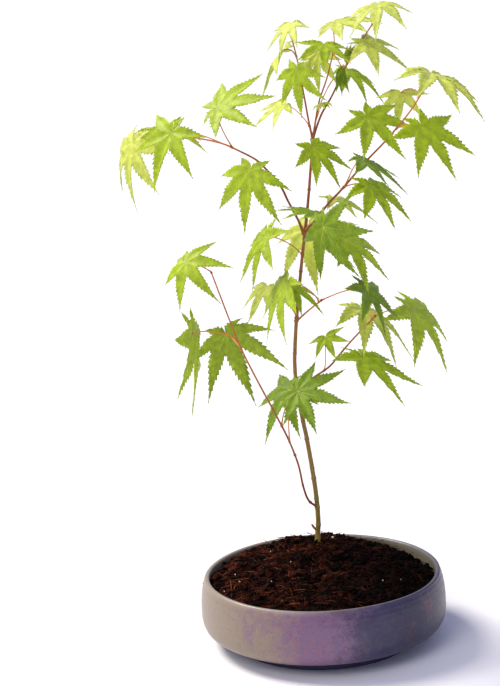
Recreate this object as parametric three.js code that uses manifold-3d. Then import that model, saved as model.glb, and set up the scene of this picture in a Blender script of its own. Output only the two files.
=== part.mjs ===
// A young Japanese maple in a shallow round stoneware pot.
// Millimetres, +Z up. The origin is at the middle of the pot's flat underside.
import * as THREE from 'three';
import { mergeVertices } from 'three/addons/utils/BufferGeometryUtils.js';
import Module from 'manifold-3d';

const wasm = await Module();
wasm.setup();

// ---- Driving dimensions ------------------------------------------------------------------

const GAP = 0.3;                // clearance kept between touching pieces
const SIMPLIFY = 0.02;          // slivers smaller than this are dropped after a cut

const POT_RADIUS = 101;         // widest part of the wall
const RIM_RADIUS = 97.5;        // outside of the rim
const POT_HEIGHT = 56;
const WALL = 5.5;               // thickness of the wall
const FOOT_RADIUS = 76;
const FOOT_HEIGHT = 8;
const HEEL_RADIUS = 89;         // where the rounded heel turns in to the foot
const FLOOR_TOP = 11;           // inside bottom of the bowl
const BELLY = [24, 44];         // heights between which the wall bulges
const INSIDE = [22, 40];        // heights between which the inside of the wall is upright
const LIP_WIDTH = 0.8;          // flat of the rim, share of the wall
const POT_SIDES = 32;
const HALF_FACET = 180 / POT_SIDES; // turns a cut from a corner of the pot's outline to a flat
const WALL_QUARTERS = { right: 0, back: 90, left: 180, front: 270 }; // the way each quarter faces

const SOIL_LEVEL = 51;          // height of the soil at the wall
const SOIL_RADIUS = 92.8;       // where the soil meets the wall
const MOUND_HEIGHT = 15.5;      // how far the soil rises round the stem
const MOUND_SPREAD = 34;
const SOIL_ROUGHNESS = 0.9;
const SOIL_WAVES = [0.21, 0.09, 0.17, 0.05]; // how quickly the soil rolls along x and y
const SOIL_SLACK = 0.4;         // extra room between the soil and the wall
const SOIL_RINGS = 3;
const PLATEAU = 7;              // level patch round the foot of the stem
const STEM_FOOT = new THREE.Vector2(-2, 42);
const STEM_FOOT_Z = SOIL_LEVEL + MOUND_HEIGHT + GAP;
const FLARE_FADE = 60;          // how quickly the root flare dies out up the stem

const BLADE = 1.6;              // thickness of a leaf mass
const STALK_RADIUS = 0.75;
const STALK_BOW = 0.06;         // rise of a stalk's middle, share of its length

// Lobes of a leaf from the middle one outwards: angle in degrees, share of the span.
const LOBES = [
  { angle: 0, reach: 1.0 },
  { angle: 40, reach: 0.92 },
  { angle: 80, reach: 0.7 },
  { angle: 128, reach: 0.36 },
];
const LOBE_HALF_WIDTH = 0.13;   // share of the span
const LOBE_WIDEST = 0.55;       // where a lobe is widest, share of its length
const SINUS = 0.35;             // depth of the notch between two lobes, share of the span
const SINUS_REACH = 0.6;        // between lobes shorter than this the notch is shallower
const BASE_NOTCH = 0.04;
const SMALL_SPAN = 36;          // a leaf shorter than this has no outermost pair of lobes

// Limbs: radius at the foot and at the tip, then the points that the limb grows through. A limb
// may also have its own number of sides and of steps, and a flare where it leaves the soil.
const LIMBS = {
  trunk: {
    radii: [2.15, 1.0], sides: 8, steps: 15, flare: 1.0,
    route: [[STEM_FOOT.x, STEM_FOOT.y, STEM_FOOT_Z], [-2, 42, 74], [-1, 41, 84], [-2, 39, 113],
      [-7, 37, 158], [-11, 36, 185], [-14, 36, 217], [-12, 36, 248], [-8, 35, 280], [-3, 35, 314],
      [3, 33, 352], [7, 33, 383], [10, 32, 410]],
  },
  shoot_left: {
    radii: [0.85, 0.55],
    route: [[10, 32, 408], [8, 33, 419], [5, 36, 441], [1, 41, 470], [-3, 45, 490]],
  },
  shoot_middle: {
    radii: [0.8, 0.5],
    route: [[10, 32, 408], [14, 29, 427], [17, 27, 439], [23, 24, 454], [30, 20, 477]],
  },
  shoot_right: {
    radii: [0.9, 0.55],
    route: [[10, 32, 408], [18, 34, 427], [27, 36, 441], [39, 40, 463], [48, 38, 477], [62, 31, 496]],
  },
  bough_low_left: {
    radii: [0.95, 0.6], steps: 12,
    route: [[-1, 40, 98], [-8, 33, 106], [-12, 27, 120], [-15, 22, 140], [-22, 15, 164], [-32, 8, 189],
      [-44, 1, 217], [-56, -6, 247], [-64, -12, 273], [-75, -20, 311]],
  },
  bough_left: {
    radii: [1.05, 0.55], steps: 12,
    route: [[-1, 34, 331], [-4, 38, 340], [-13, 46, 359], [-18, 50, 370], [-30, 57, 385], [-37, 60, 392],
      [-51, 66, 400], [-66, 72, 407], [-93, 83, 413], [-122, 90, 415], [-140, 92, 411]],
  },
  bough_right: {
    radii: [1.05, 0.6], steps: 10,
    route: [[-1, 34, 331], [10, 29, 344], [21, 24, 357], [31, 19, 367], [51, 9, 389], [69, 0, 407],
      [87, -9, 428], [96, -16, 442]],
  },
  bough_small_right: {
    radii: [0.75, 0.6], steps: 4,
    route: [[-11, 36, 259], [1, 28, 270], [11, 22, 278]],
  },
  bough_low_right: {
    radii: [0.95, 0.65],
    route: [[-12, 36, 196], [-2, 44, 207], [15, 50, 217], [24, 54, 226], [35, 58, 237], [56, 65, 256]],
  },
};

// Leaf masses: the limb and how far along it the stalk leaves, where the lobes meet, the way the
// middle lobe points (heading, then dip below level), the turn about that lobe, its length, how
// widely the lobes spread and how much they curl down.
const LEAVES = {
  leaf_crest_right: ['shoot_right', 1.0, [66, 25, 511], -97, 14, 5, 42, 0.84, 0.45],
  leaf_crest_left: ['shoot_left', 1.0, [-3, 36, 500], -135, 45, 3, 31, 1.04, 0.2],
  leaf_crest_back: ['shoot_middle', 1.0, [33, 55, 500], -55, 5, 15, 45, 0.85, 0.15],
  leaf_crest_front: ['shoot_right', 0.56, [22, 12, 482], -89, 37, -9, 32, 1.13, 0.05],
  leaf_crest_inner: ['shoot_right', 0.74, [19, 46, 478], -148, 78, -13, 35, 0.9, 0.15],
  leaf_upper_right: ['shoot_right', 0.64, [56, 28, 480], -12, 21, 26, 40, 1.3, 0.25],
  leaf_upper_left: ['shoot_left', 0.7, [0, 22, 464], -110, 88, 18, 37, 0.95, 0.15],
  leaf_upper_left_back: ['shoot_left', 0.8, [-10, 71, 480], -145, 45, 30, 44, 0.95, 0.2],
  leaf_upper_left_low: ['shoot_left', 0.12, [-11, 40, 437], -175, 25, -20, 31, 1.15, 0.15],
  leaf_upper_middle: ['shoot_middle', 0.3, [38, 52, 461], -2, 23, 16, 41, 1.0, 0.3],
  leaf_fork: ['trunk', 0.985, [9, 10, 403], -25, 50, 20, 43, 0.9, 0.05],

  leaf_right_tip: ['bough_right', 1.0, [102, -20, 455], -70, 15, -17, 61, 0.75, 0.25],
  leaf_right_tip_back: ['bough_right', 0.96, [82, 28, 441], -110, 55, 0, 31, 1.1, 0.2],
  leaf_right_high: ['bough_right', 0.7, [53, -2, 424], -35, 43, 27, 46, 1.1, 0.05],
  leaf_right_outer: ['bough_right', 0.76, [93, -31, 415], -36, 52, 16, 51, 1.1, 0.0],
  leaf_right_edge: ['bough_right', 0.34, [47, -4, 391], -11, 30, 5, 44, 1.0, 0.1],
  leaf_right_middle: ['bough_right', 0.34, [53, 6, 371], -50, 45, -5, 48, 0.95, 0.1],
  leaf_right_inner: ['bough_right', 0.16, [26, 45, 357], -5, 20, 5, 39, 1.25, 0.15],

  leaf_left_tip: ['bough_left', 1.0, [-141, 83, 411], -150, 70, -5, 58, 1.05, 0.35],
  leaf_left_tip_back: ['bough_left', 0.88, [-120, 110, 421], 80, 10, 0, 52, 1.1, 0.4],
  leaf_left_outer: ['bough_left', 0.53, [-104, 34, 419], -158, 57, -33, 47, 1.35, 0.2],
  leaf_left_high: ['bough_left', 0.53, [-68, 78, 436], -17, -12, 39, 54, 1.1, 0.05],
  leaf_left_hanging: ['bough_left', 0.27, [-42, 45, 385], -150, 70, -30, 50, 1.0, 0.35],

  leaf_stem_left: ['trunk', 0.72, [-32, 28, 332], -130, 60, 25, 50, 1.1, 0.05],
  leaf_stem_back: ['trunk', 0.77, [3, 75, 332], -95, 60, 25, 55, 1.15, 0.4],
  leaf_stem_right: ['trunk', 0.78, [15, -12, 341], -53, 57, 82, 50, 1.28, 0.3],
  leaf_stem_front: ['trunk', 0.82, [12, 19, 348], 178, -15, -5, 38, 0.8, 0.1],
  leaf_stem_right_back: ['trunk', 0.76, [32, 30, 325], 0, 35, 25, 52, 1.0, 0.2],
  leaf_inner_low: ['trunk', 0.56, [-14, 24, 289], -20, 20, 10, 32, 1.1, 0.3],
  leaf_inner_back: ['trunk', 0.57, [-34, 60, 286], -141, 44, -3, 35, 1.1, 0.2],
  leaf_inner_hanging: ['bough_small_right', 0.9, [-16, -2, 298], 180, 55, -20, 53, 0.85, 0.25],
  leaf_small_right: ['bough_small_right', 1.0, [47, 15, 286], -42, 56, -13, 45, 1.2, 0.05],

  leaf_low_right_back: ['bough_low_right', 0.97, [46, 88, 259], -50, 25, -15, 64, 0.9, 0.35],
  leaf_low_right_tip: ['bough_low_right', 1.0, [88, 62, 260], -23, 50, 4, 63, 1.2, 0.2],
  leaf_low_right_front: ['bough_low_right', 0.5, [44, 50, 223], -48, 34, -11, 59, 1.15, 0.0],
  leaf_low_right_small: ['bough_low_right', 0.33, [13, 60, 241], -66, 44, 31, 25, 1.2, 0.0],

  leaf_low_left_tip: ['bough_low_left', 1.0, [-94, -24, 320], -61, 32, 46, 39, 1.25, 0.45],
  leaf_low_left_edge: ['bough_low_left', 0.74, [-92, -36, 265], -2, 87, 5, 66, 1.15, 0.1],
  leaf_low_left_front: ['bough_low_left', 0.7, [-69, 24, 254], 63, 60, -43, 56, 1.05, 0.5],
  leaf_low_front_left: ['bough_low_left', 0.38, [-19, 34, 202], -160, 45, -18, 47, 1.25, 0.3],
  leaf_low_front_right: ['bough_low_left', 0.31, [-12, -24, 213], -30, 10, 45, 46, 1.05, 0.0],
};

// ---- Materials ---------------------------------------------------------------------------

const material = (color, roughness) => new THREE.MeshStandardMaterial({ color, roughness, metalness: 0 });
const STONEWARE = material(0x8d7a80, 0.4);
const SOIL = material(0x3a1f14, 0.95);
const BARK = material(0x6b3a20, 0.6);
const LEAF = material(0x8fb42a, 0.55);

// ---- Solids ------------------------------------------------------------------------------

const rad = THREE.MathUtils.degToRad;
const vector = (p) => new THREE.Vector3(...p);

function toSolid(geometry) {
  const bare = geometry.clone();
  bare.deleteAttribute('normal');
  bare.deleteAttribute('uv');
  const merged = mergeVertices(bare, 1e-4);
  return new wasm.Manifold(new wasm.Mesh({
    numProp: 3,
    vertProperties: new Float32Array(merged.attributes.position.array),
    triVerts: new Uint32Array(merged.index.array),
  }));
}

// What is left of a solid clear of others, without any sliver on their far side.
function clearOf(solid, cuts) {
  let left = solid;
  for (const cut of cuts) left = left.subtract(cut);
  const [largest] = left.decompose().sort((a, b) => b.volume() - a.volume());
  return largest.simplify(SIMPLIFY);
}

function toGeometry(solid) {
  const mesh = solid.getMesh();
  const geometry = new THREE.BufferGeometry();
  geometry.setAttribute('position', new THREE.BufferAttribute(mesh.vertProperties, 3));
  geometry.setIndex(new THREE.BufferAttribute(mesh.triVerts, 1));
  geometry.computeVertexNormals();
  return geometry;
}

// Moves every vertex of a geometry by a function of its place.
function bend(geometry, move) {
  const places = geometry.attributes.position;
  const p = new THREE.Vector3();
  for (let i = 0; i < places.count; i += 1) {
    p.fromBufferAttribute(places, i);
    move(p);
    places.setXYZ(i, p.x, p.y, p.z);
  }
  return geometry;
}

// A tapering round limb along a route, closed at both ends.
function limb(route, radiusAt, sides, steps) {
  const curve = new THREE.CatmullRomCurve3(route.map(vector), false, 'centripetal');
  const frames = curve.computeFrenetFrames(steps, false);
  const geometry = new THREE.CylinderGeometry(1, 1, 1, sides, steps);
  return bend(geometry, (p) => {
    const along = Math.round((p.y + 0.5) * steps);
    const radius = radiusAt(along / steps);
    const centre = curve.getPointAt(along / steps);
    // The cylinder's x and z axes go to the curve's binormal and normal, in a right-handed order.
    const out = frames.normals[along].clone().multiplyScalar(p.z * radius)
      .addScaledVector(frames.binormals[along], p.x * radius);
    p.copy(centre).add(out);
  });
}

function limbGeometry(name, swell = 0) {
  const { radii, route, sides = 6, steps = 8, flare = 0 } = LIMBS[name];
  const radiusAt = (u) => {
    const taper = THREE.MathUtils.lerp(radii[0], radii[1], u);
    return taper + flare * Math.exp(-u * FLARE_FADE) + swell;
  };
  return limb(route, radiusAt, sides, steps);
}

// ---- Pot and soil ------------------------------------------------------------------------

function potGeometry() {
  const lip = RIM_RADIUS - WALL * LIP_WIDTH;
  const profile = new THREE.Path();
  profile.moveTo(0, 0);
  profile.lineTo(FOOT_RADIUS, 0);
  profile.lineTo(FOOT_RADIUS - 1, FOOT_HEIGHT);
  profile.lineTo(HEEL_RADIUS, FOOT_HEIGHT + 2);
  profile.quadraticCurveTo(POT_RADIUS - 0.5, FOOT_HEIGHT + 4, POT_RADIUS, BELLY[0]);
  profile.quadraticCurveTo(POT_RADIUS + 0.5, BELLY[1], RIM_RADIUS, POT_HEIGHT - 2);
  profile.quadraticCurveTo(RIM_RADIUS - 1, POT_HEIGHT, (RIM_RADIUS + lip) / 2, POT_HEIGHT);
  profile.lineTo(lip, POT_HEIGHT - 2);
  profile.lineTo(POT_RADIUS - WALL, INSIDE[1]);
  profile.lineTo(POT_RADIUS - WALL, INSIDE[0]);
  profile.lineTo(HEEL_RADIUS - 2, FLOOR_TOP);
  profile.lineTo(0, FLOOR_TOP);
  const geometry = new THREE.LatheGeometry(profile.getPoints(2), POT_SIDES);
  return geometry.rotateX(Math.PI / 2);
}

// Height of the soil: low at the wall, rising to a level patch round the stem.
function soilHeight(x, y) {
  const away = Math.max(0, Math.hypot(x - STEM_FOOT.x, y - STEM_FOOT.y) - PLATEAU);
  const mound = MOUND_HEIGHT * Math.exp(-((away / MOUND_SPREAD) ** 2) / 2);
  const wall = 1 - Math.min(1, Math.hypot(x, y) / SOIL_RADIUS) ** 10;
  const [a, b, c, d] = SOIL_WAVES;
  const lumps = Math.sin(x * a + y * b) * Math.cos(y * c - x * d);
  return SOIL_LEVEL + mound * wall + SOIL_ROUGHNESS * lumps * Math.min(1, away / PLATEAU);
}

function soilGeometry() {
  const outer = POT_RADIUS - WALL - GAP - SOIL_SLACK;
  const profile = [[0, FLOOR_TOP + GAP], [HEEL_RADIUS - 3, FLOOR_TOP + GAP], [outer, INSIDE[0] + GAP],
    [outer, INSIDE[1]]];
  for (let i = 0; i <= SOIL_RINGS; i += 1) profile.push([SOIL_RADIUS * (1 - i / SOIL_RINGS), SOIL_LEVEL]);
  const turned = profile.map(([radius, height]) => new THREE.Vector2(radius, height));
  const geometry = new THREE.LatheGeometry(turned, POT_SIDES).rotateX(Math.PI / 2);
  return bend(geometry, (p) => {
    if (p.z < SOIL_LEVEL - 1) return;
    const inner = 1 - Math.hypot(p.x, p.y) / SOIL_RADIUS;
    p.x += STEM_FOOT.x * inner;
    p.y += STEM_FOOT.y * inner;
    p.z = soilHeight(p.x, p.y);
  });
}

// ---- Leaves ------------------------------------------------------------------------------

// The flat outline of a leaf: seven pointed lobes round the place where the stalk joins.
function leafShape(span, spread) {
  const points = [];
  const polar = (angle, radius) => new THREE.Vector2(Math.cos(angle), Math.sin(angle)).multiplyScalar(radius);
  const outermost = LOBES.length - 1;
  const last = outermost - (span < SMALL_SPAN ? 1 : 0);
  for (let i = -last; i <= last; i += 1) {
    const { angle, reach } = LOBES[Math.abs(i)];
    const turn = rad(angle) * spread * Math.sign(i);
    const length = reach * span;
    const half = LOBE_HALF_WIDTH * span * Math.sqrt(reach);
    const across = polar(turn + Math.PI / 2, half);
    const at = (share, side) => polar(turn, length * share).addScaledVector(across, side);
    if (Math.abs(i) === outermost) points.push(at(1, 0));
    else points.push(at(LOBE_WIDEST, -1), at(1, 0), at(LOBE_WIDEST, 1));
    if (i === last) break;
    const next = LOBES[Math.abs(i + 1)];
    const nextTurn = rad(next.angle) * spread * Math.sign(i + 1);
    const depth = SINUS * span * Math.min(1, Math.min(reach, next.reach) / SINUS_REACH);
    points.push(polar((turn + nextTurn) / 2, depth));
  }
  points.push(polar(Math.PI, BASE_NOTCH * span));
  return new THREE.Shape(points);
}

// Axes of a leaf: along the middle lobe, to its left, and up through the upper side.
function leafAxes(heading, dip, roll) {
  const level = new THREE.Vector3(Math.cos(rad(heading)), Math.sin(rad(heading)), 0);
  const left = new THREE.Vector3(-level.y, level.x, 0);
  const along = level.multiplyScalar(Math.cos(rad(dip))).setZ(-Math.sin(rad(dip)));
  left.applyAxisAngle(along, rad(roll));
  return [along, left, along.clone().cross(left)];
}

function leafSolid([limbName, station, base, heading, dip, roll, span, spread, curl]) {
  const [along, left, up] = leafAxes(heading, dip, roll);
  const origin = vector(base);
  const blade = new THREE.ExtrudeGeometry(leafShape(span, spread), { depth: BLADE, bevelEnabled: false });
  bend(blade, (p) => {
    const fall = curl * (p.x * p.x + p.y * p.y) / span;
    const rise = p.z - BLADE / 2 - fall;
    const { x, y } = p;
    p.copy(origin).addScaledVector(along, x).addScaledVector(left, y).addScaledVector(up, rise);
  });
  const curve = new THREE.CatmullRomCurve3(LIMBS[limbName].route.map(vector), false, 'centripetal');
  const foot = curve.getPointAt(station);
  const into = origin.clone().addScaledVector(along, BASE_NOTCH * span);
  const middle = foot.clone().lerp(into, 0.5);
  middle.z += foot.distanceTo(into) * STALK_BOW;
  const stalk = limb([foot.toArray(), middle.toArray(), into.toArray()], () => STALK_RADIUS, 4, 2);
  return toSolid(blade).add(toSolid(stalk));
}

// ---- Assembly ----------------------------------------------------------------------------

const group = new THREE.Group();

function addPiece(name, geometry, finish) {
  const mesh = new THREE.Mesh(geometry, finish);
  mesh.name = name;
  group.add(mesh);
}

// The pot is a solid base and four quarters of wall that stand on it.
const pot = toSolid(potGeometry());
addPiece('pot_base', toGeometry(pot.trimByPlane([0, 0, -1], GAP - FLOOR_TOP)), STONEWARE);
for (const [side, heading] of Object.entries(WALL_QUARTERS)) {
  let quarter = pot.trimByPlane([0, 0, 1], FLOOR_TOP + GAP);
  for (const corner of [-45, 45]) {
    const turn = rad(heading + corner + HALF_FACET);
    quarter = quarter.trimByPlane([Math.cos(turn), Math.sin(turn), 0], GAP / 2);
  }
  addPiece(`pot_wall_${side}`, toGeometry(quarter), STONEWARE);
}
addPiece('soil', soilGeometry(), SOIL);

const clearances = [];
for (const name of Object.keys(LIMBS)) {
  addPiece(name, toGeometry(clearOf(toSolid(limbGeometry(name)), clearances)), BARK);
  clearances.push(toSolid(limbGeometry(name, GAP)));
}

for (const [name, row] of Object.entries(LEAVES)) {
  addPiece(name, toGeometry(clearOf(leafSolid(row), clearances)), LEAF);
}

export default group;
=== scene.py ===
"""A young Japanese maple in a shallow glazed stoneware bowl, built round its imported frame."""

import math
from functools import partial

import bpy
import numpy as np
from bpy.props import FloatProperty, FloatVectorProperty, IntProperty, PointerProperty
from bpy.types import Operator, Panel, PropertyGroup
from mathutils import Matrix, Vector, noise


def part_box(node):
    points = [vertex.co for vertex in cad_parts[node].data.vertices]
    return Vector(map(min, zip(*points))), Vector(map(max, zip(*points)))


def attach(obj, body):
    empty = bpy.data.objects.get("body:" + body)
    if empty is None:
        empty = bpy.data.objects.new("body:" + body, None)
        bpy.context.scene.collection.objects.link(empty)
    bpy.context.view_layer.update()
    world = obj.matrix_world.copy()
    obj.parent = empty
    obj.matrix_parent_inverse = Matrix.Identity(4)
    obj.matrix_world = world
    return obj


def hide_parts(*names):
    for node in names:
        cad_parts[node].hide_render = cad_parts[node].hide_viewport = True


bl_info = {
    "name": "Potted maple",
    "version": (1, 0, 0),
    "blender": (4, 5, 0),
    "location": "View3D > Sidebar > Potted maple",
    "description": "Throws the bowl, fills it with soil and grows the tree on the packed frame",
    "category": "Object",
}

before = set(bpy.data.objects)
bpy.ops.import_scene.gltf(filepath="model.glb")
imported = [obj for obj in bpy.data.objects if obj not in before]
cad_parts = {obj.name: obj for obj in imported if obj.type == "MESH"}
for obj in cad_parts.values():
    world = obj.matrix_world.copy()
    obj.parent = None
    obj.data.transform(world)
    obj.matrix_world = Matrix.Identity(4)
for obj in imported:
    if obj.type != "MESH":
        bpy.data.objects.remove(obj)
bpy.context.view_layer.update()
POT_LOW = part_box("pot_base")[0]
POT_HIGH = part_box("pot_wall_right")[1]
SOIL_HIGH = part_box("soil")[1]
BODY = "root"
POT_NODES = ("pot_base", "pot_wall_right", "pot_wall_back", "pot_wall_left", "pot_wall_front")
MM = 0.001

# ---- Sizes repeated from the part's source, in millimetres and degrees ---------------------------

STEM_FOOT = (-2, 42)
SOIL_LEVEL = 51
PLATEAU = 7             # level patch round the foot of the stem
FLOOR_TOP = 11          # inside bottom of the bowl
BELLY = (24, 44)        # heights between which the wall bulges
INSIDE = (22, 40)       # heights between which the inside of the wall is upright
LIP_WIDTH = 0.8         # flat of the rim, share of the wall

# Limbs: radius at the foot and the tip, how young the bark is at the foot and the tip (0 old stem,
# 1 this year's growth), then the points that the limb grows through.
LIMBS = {
    "trunk": ((2.15, 1.0), (0.0, 0.62), [
        (-2, 42, 66.8), (-2, 42, 74), (-1, 41, 84), (-2, 39, 113), (-7, 37, 158), (-11, 36, 185),
        (-14, 36, 217), (-12, 36, 248), (-8, 35, 280), (-3, 35, 314), (3, 33, 352), (7, 33, 383),
        (10, 32, 410)]),
    "shoot_left": ((0.85, 0.55), (0.7, 0.95), [
        (10, 32, 408), (8, 33, 419), (5, 36, 441), (1, 41, 470), (-3, 45, 490)]),
    "shoot_middle": ((0.8, 0.5), (0.6, 0.85), [
        (10, 32, 408), (14, 29, 427), (17, 27, 439), (23, 24, 454), (30, 20, 477)]),
    "shoot_right": ((0.9, 0.55), (0.6, 0.85), [
        (10, 32, 408), (18, 34, 427), (27, 36, 441), (39, 40, 463), (48, 38, 477), (62, 31, 496)]),
    "bough_low_left": ((0.95, 0.6), (0.62, 0.9), [
        (-1, 40, 98), (-8, 33, 106), (-12, 27, 120), (-15, 22, 140), (-22, 15, 164), (-32, 8, 189),
        (-44, 1, 217), (-56, -6, 247), (-64, -12, 273), (-75, -20, 311)]),
    "bough_left": ((1.05, 0.55), (0.55, 1.0), [
        (-1, 34, 331), (-4, 38, 340), (-13, 46, 359), (-18, 50, 370), (-30, 57, 385),
        (-37, 60, 392), (-51, 66, 400), (-66, 72, 407), (-93, 83, 413), (-122, 90, 415),
        (-140, 92, 411)]),
    "bough_right": ((1.05, 0.6), (0.6, 0.92), [
        (-1, 34, 331), (10, 29, 344), (21, 24, 357), (31, 19, 367), (51, 9, 389), (69, 0, 407),
        (87, -9, 428), (96, -16, 442)]),
    "bough_small_right": ((0.75, 0.6), (0.75, 0.9), [(-11, 36, 259), (1, 28, 270), (11, 22, 278)]),
    "bough_low_right": ((0.95, 0.65), (0.6, 0.85), [
        (-12, 36, 196), (-2, 44, 207), (15, 50, 217), (24, 54, 226), (35, 58, 237), (56, 65, 256)]),
}

# Leaves: tone (0 deep, 1 middling, 2 pale), partly the leaf's age and partly painted light and shade, each
# leaf's tone being set by how brightly it is lit as well as by its age; then as in the part's source the
# limb and how far along it the stalk leaves, where the lobes meet, the heading and dip of the middle lobe,
# the turn about it, its length, how widely the lobes spread and how much they curl down.
LEAVES = {
    "leaf_crest_right": (2, "shoot_right", 1.0, (66, 25, 511), -97, 14, 5, 42, 0.84, 0.45),
    "leaf_crest_left": (2, "shoot_left", 1.0, (-3, 36, 500), -135, 45, 3, 31, 1.04, 0.2),
    "leaf_crest_back": (2, "shoot_middle", 1.0, (33, 55, 500), -55, 5, 15, 45, 0.85, 0.15),
    "leaf_crest_front": (1, "shoot_right", 0.56, (22, 12, 482), -89, 37, -9, 32, 1.13, 0.05),
    "leaf_crest_inner": (2, "shoot_right", 0.74, (19, 46, 478), -148, 78, -13, 35, 0.9, 0.15),
    "leaf_upper_right": (2, "shoot_right", 0.64, (56, 28, 480), -12, 21, 26, 40, 1.3, 0.25),
    "leaf_upper_left": (1, "shoot_left", 0.7, (0, 22, 464), -110, 88, 18, 37, 0.95, 0.15),
    "leaf_upper_left_back": (2, "shoot_left", 0.8, (-10, 71, 480), -145, 45, 30, 44, 0.95, 0.2),
    "leaf_upper_left_low": (2, "shoot_left", 0.12, (-11, 40, 437), -175, 25, -20, 31, 1.15, 0.15),
    "leaf_upper_middle": (1, "shoot_middle", 0.3, (38, 52, 461), -2, 23, 16, 41, 1.0, 0.3),
    "leaf_fork": (1, "trunk", 0.985, (9, 10, 403), -25, 50, 20, 43, 0.9, 0.05),
    "leaf_right_tip": (2, "bough_right", 1.0, (102, -20, 455), -70, 15, -17, 61, 0.75, 0.25),
    "leaf_right_tip_back": (2, "bough_right", 0.96, (82, 28, 441), -110, 55, 0, 31, 1.1, 0.2),
    "leaf_right_high": (1, "bough_right", 0.7, (53, -2, 424), -35, 43, 27, 46, 1.1, 0.05),
    "leaf_right_outer": (1, "bough_right", 0.76, (93, -31, 415), -36, 52, 16, 51, 1.1, 0.0),
    "leaf_right_edge": (0, "bough_right", 0.34, (47, -4, 391), -11, 30, 5, 44, 1.0, 0.1),
    "leaf_right_middle": (1, "bough_right", 0.34, (53, 6, 371), -50, 45, -5, 48, 0.95, 0.1),
    "leaf_right_inner": (2, "bough_right", 0.16, (26, 45, 357), -5, 20, 5, 39, 1.25, 0.15),
    "leaf_left_tip": (2, "bough_left", 1.0, (-141, 83, 411), -150, 70, -5, 58, 1.05, 0.35),
    "leaf_left_tip_back": (1, "bough_left", 0.88, (-120, 110, 421), 80, 10, 0, 52, 1.1, 0.4),
    "leaf_left_outer": (1, "bough_left", 0.53, (-104, 34, 419), -158, 57, -33, 47, 1.35, 0.2),
    "leaf_left_high": (1, "bough_left", 0.53, (-68, 78, 436), -17, -12, 39, 54, 1.1, 0.05),
    "leaf_left_hanging": (1, "bough_left", 0.27, (-42, 45, 385), -150, 70, -30, 50, 1.0, 0.35),
    "leaf_stem_left": (1, "trunk", 0.72, (-32, 28, 332), -130, 60, 25, 50, 1.1, 0.05),
    "leaf_stem_back": (2, "trunk", 0.77, (3, 75, 332), -95, 60, 25, 55, 1.15, 0.4),
    "leaf_stem_right": (0, "trunk", 0.78, (15, -12, 341), -53, 57, 82, 50, 1.28, 0.3),
    "leaf_stem_front": (0, "trunk", 0.82, (12, 19, 348), 178, -15, -5, 38, 0.8, 0.1),
    "leaf_stem_right_back": (1, "trunk", 0.76, (32, 30, 325), 0, 35, 25, 52, 1.0, 0.2),
    "leaf_inner_low": (1, "trunk", 0.56, (-14, 24, 289), -20, 20, 10, 32, 1.1, 0.3),
    "leaf_inner_back": (2, "trunk", 0.57, (-34, 60, 286), -141, 44, -3, 35, 1.1, 0.2),
    "leaf_inner_hanging": (1, "bough_small_right", 0.9, (-16, -2, 298), 180, 55, -20, 53, 0.85, 0.25),
    "leaf_small_right": (0, "bough_small_right", 1.0, (47, 15, 286), -42, 56, -13, 45, 1.2, 0.05),
    "leaf_low_right_back": (2, "bough_low_right", 0.97, (46, 88, 259), -50, 25, -15, 64, 0.9, 0.35),
    "leaf_low_right_tip": (1, "bough_low_right", 1.0, (88, 62, 260), -23, 50, 4, 63, 1.2, 0.2),
    "leaf_low_right_front": (1, "bough_low_right", 0.5, (44, 50, 223), -48, 34, -11, 59, 1.15, 0.0),
    "leaf_low_right_small": (1, "bough_low_right", 0.33, (13, 60, 241), -66, 44, 31, 25, 1.2, 0.0),
    "leaf_low_left_tip": (1, "bough_low_left", 1.0, (-94, -24, 320), -61, 32, 46, 39, 1.25, 0.45),
    "leaf_low_left_edge": (1, "bough_low_left", 0.74, (-92, -36, 265), -2, 87, 5, 66, 1.15, 0.1),
    "leaf_low_left_front": (0, "bough_low_left", 0.7, (-69, 24, 254), 63, 60, -43, 56, 1.05, 0.5),
    "leaf_low_front_left": (0, "bough_low_left", 0.38, (-19, 34, 202), -160, 45, -18, 47, 1.25, 0.3),
    "leaf_low_front_right": (0, "bough_low_left", 0.31, (-12, -24, 213), -30, 10, 45, 46, 1.05, 0.0),
}

# Half-open leaves near the fork, as the leaves above and then the number of lobes on each side.
YOUNG_LEAVES = (
    (0, "shoot_right", 0.62, (36, 36, 464), -110, 72, 10, 26, 0.35, 0.2, 1),
    (0, "shoot_right", 0.62, (40, 42, 467), 60, -60, 10, 19, 0.3, 0.1, 1),
    (1, "shoot_middle", 0.14, (18, 24, 436), -120, 20, 10, 11, 1.0, 0.3, 2),
    (1, "shoot_middle", 0.2, (21, 32, 436), 20, 10, -20, 9, 0.9, 0.3, 2),
)

# Lobes of a leaf from the middle one outwards: angle in degrees, share of the span.
LOBES = [(0, 1.0), (40, 0.92), (80, 0.7), (128, 0.36)]

# Leafless old nodes, as heights above the table.
BARE_NODES = {"trunk": (82, 105, 124, 133, 158, 174, 232, 262, 300, 368), "bough_low_left": (104, 121, 150)}

# ---- Finer sizes of the meshes -------------------------------------------------------------------

BOWL_SIDES = 176
SOIL_RINGS, SOIL_SIDES = 84, 260
SOIL_BED = 44 * MM      # underside of the soil, hidden in the bowl
SOIL_MARGIN = 2.4 * MM  # how far the loose soil stops short of its solid
BOUGH_SIDES, STALK_SIDES, RIB_SIDES, BUD_SIDES = 12, 7, 4, 7


# ---- Small tools ---------------------------------------------------------------------------------

def srgb(code):
    """An sRGB hex colour as linear red, green, blue and alpha."""
    values = [int(code[i:i + 2], 16) / 255 for i in (1, 3, 5)]
    return tuple(v / 12.92 if v <= 0.04045 else ((v + 0.055) / 1.055) ** 2.4 for v in values) + (1.0,)


def colour(name, description, code):
    """A colour that a user may change."""
    return FloatVectorProperty(name=name, description=description, subtype="COLOR", size=4,
                               min=0.0, max=1.0, default=srgb(code))


def length(name, description, millimetres):
    """A length that a user may change."""
    return FloatProperty(name=name, description=description, unit="LENGTH", min=0.0,
                         precision=5, default=millimetres * MM)


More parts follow.
